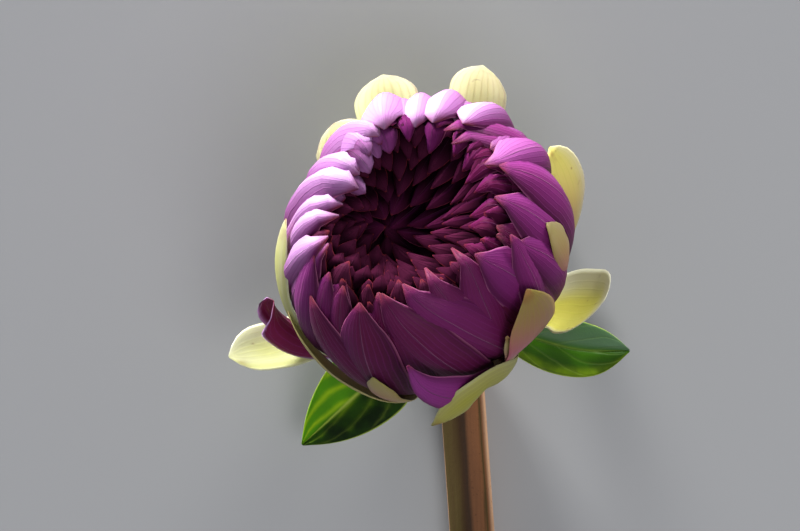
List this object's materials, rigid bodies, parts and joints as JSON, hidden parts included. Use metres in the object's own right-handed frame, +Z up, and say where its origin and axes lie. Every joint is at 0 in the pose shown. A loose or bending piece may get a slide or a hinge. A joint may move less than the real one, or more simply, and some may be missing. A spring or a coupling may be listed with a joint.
{
  "type": "dahlia bud",
  "caption": "Cut dahlia bud, half open, lying on its stem with the flower face turned up: round purple head with a closed middle, pale inner bracts and green outer bracts.",
  "frame": {"origin": "on the surface the bud lies on, under the middle of its bounding box", "axes": "+Z up off the surface; the stem runs along -Y from the flower head to its cut end; +X to the right of the face as seen from above"},
  "size_m": [0.0838, 0.1532, 0.0676],
  "materials": {
    "petals": "soft velvety sheen",
    "inner_bracts": "thin, waxy, translucent",
    "outer_bracts": "waxy leaf",
    "stem": "matt, finely ridged"
  },
  "bodies": {
    "root": {"bloom": "petals", "cream_bracts": "inner_bracts", "green_bract_1": "outer_bracts", "green_bract_2": "outer_bracts", "green_bract_3": "outer_bracts", "green_bract_4": "outer_bracts", "stem": "stem"}
  },
  "joints": []
}
